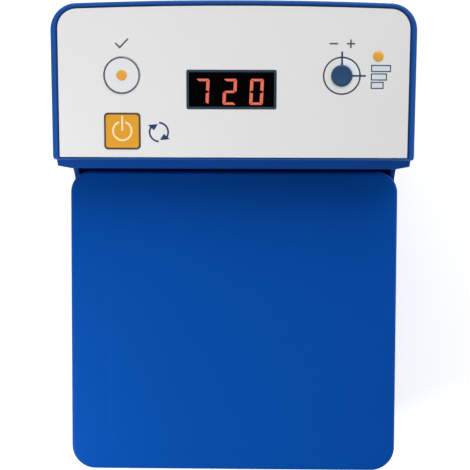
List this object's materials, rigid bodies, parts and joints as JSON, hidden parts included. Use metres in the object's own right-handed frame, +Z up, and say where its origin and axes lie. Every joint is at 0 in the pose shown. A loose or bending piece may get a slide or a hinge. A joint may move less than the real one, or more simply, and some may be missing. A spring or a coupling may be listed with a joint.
{
  "type": "dry block heater",
  "caption": "Bench dry block heater with a hinged lid over a drilled aluminium block and a sloped control console behind it.",
  "frame": {"origin": "middle of the overall footprint at bench level", "axes": "+Z up, +X to the right of someone facing the panel, front faces -Y"},
  "size_m": [0.1716, 0.2306, 0.1184],
  "materials": {
    "blue_housing": "satin moulded",
    "blue_lid": "satin moulded",
    "blue_bezel": "semi-gloss moulded",
    "dark_panel": "fine texture powder coat",
    "foot_rubber": "matt",
    "screw_steel": "plated",
    "block_aluminium": "fine machined",
    "heater_silicone": "matt",
    "insulation": "fibrous",
    "black_plastic": "fine spark texture",
    "ceramic_body": "matt",
    "hinge_steel": "brushed",
    "liner_metal": "brushed",
    "gasket_rubber": "satin silicone",
    "circuit_board": "solder mask",
    "spacer_plastic": "nylon",
    "spacer_metal": "turned",
    "transformer_core": "varnished laminations",
    "relay_blue": "moulded",
    "capacitor_film": "moulded",
    "terminal_green": "moulded",
    "heatsink": "black anodised",
    "pin_brass": "nickel plated",
    "white_panel": "satin film overlay",
    "window_dark": "smoked",
    "key_white": "satin",
    "lamp_amber": "tinted lens",
    "key_amber": "satin",
    "dial_navy": "satin",
    "cable_grey": "satin",
    "lead_red": "silicone sleeve",
    "lead_brown": "satin"
  },
  "bodies": {
    "housing": {"base_pan": "dark_panel", "feet": "foot_rubber", "foot_screws": "screw_steel", "housing_screws": "screw_steel", "housing_shell": "blue_housing", "heating_block": "block_aluminium", "heater_plate": "block_aluminium", "heater_mat": "heater_silicone", "insulation_jacket": "insulation", "insulation_board": "insulation", "block_surround": "black_plastic", "block_screws": "screw_steel", "temperature_probe": "screw_steel", "thermal_cutout": "ceramic_body", "hinge_brackets": "hinge_steel", "hinge_pins": "hinge_steel", "bracket_screws": "screw_steel", "power_board": "circuit_board", "board_spacers": "spacer_plastic", "transformer": "transformer_core", "relay": "relay_blue", "filter_capacitor": "capacitor_film", "terminal_block": "terminal_green", "triac_heatsink": "heatsink", "rear_panel": "dark_panel", "rear_screws": "screw_steel", "mains_inlet": "black_plastic", "inlet_pins": "pin_brass", "console_tray": "blue_housing", "console_bezel": "blue_bezel", "console_screws": "screw_steel", "front_panel": "white_panel", "control_board": "circuit_board", "panel_spacers": "spacer_metal", "display_module": "black_plastic", "display_window": "window_dark", "key_switches": "black_plastic", "cal_potentiometer": "relay_blue", "level_lamp": "lamp_amber", "ribbon_cable": "cable_grey", "heater_leads": "lead_red", "mains_leads": "lead_brown"},
    "lid": {"lid_shell": "blue_lid", "lid_liner": "liner_metal", "lid_insulation": "insulation", "lid_gasket": "gasket_rubber", "liner_screws": "screw_steel", "hinge_lugs": "hinge_steel", "lug_screws": "screw_steel"},
    "set_key": {"set_key": "key_white", "set_lamp": "lamp_amber"},
    "power_key": {"power_key": "key_amber"},
    "cal_dial": {"cal_dial": "dial_navy"},
    "fuse_drawer": {"fuse_drawer": "black_plastic"}
  },
  "joints": [
    {"name": "lid_hinge", "type": "hinge", "parent": "housing", "child": "lid", "pos_m": [0, 0.02787, 0.082], "axis": [-1, 0, 0], "range_deg": [0, 94]},
    {"name": "set_key_press", "type": "slide", "parent": "housing", "child": "set_key", "axis": [0, 0.0767, -0.9971], "range_m": [0, 0.0006], "stiffness_N_per_m": 400, "springref_m": -0.0005},
    {"name": "power_key_press", "type": "slide", "parent": "housing", "child": "power_key", "axis": [0, 0.0767, -0.9971], "range_m": [0, 0.0006], "stiffness_N_per_m": 400, "springref_m": -0.0005},
    {"name": "cal_dial_turn", "type": "hinge", "parent": "housing", "child": "cal_dial", "pos_m": [0.0509, 0.08038, 0.11585], "axis": [0, 0.0767, -0.9971], "range_deg": [0, 90]},
    {"name": "fuse_drawer_slide", "type": "slide", "parent": "housing", "child": "fuse_drawer", "axis": [0, 1, 0], "range_m": [0, 0.014]}
  ]
}
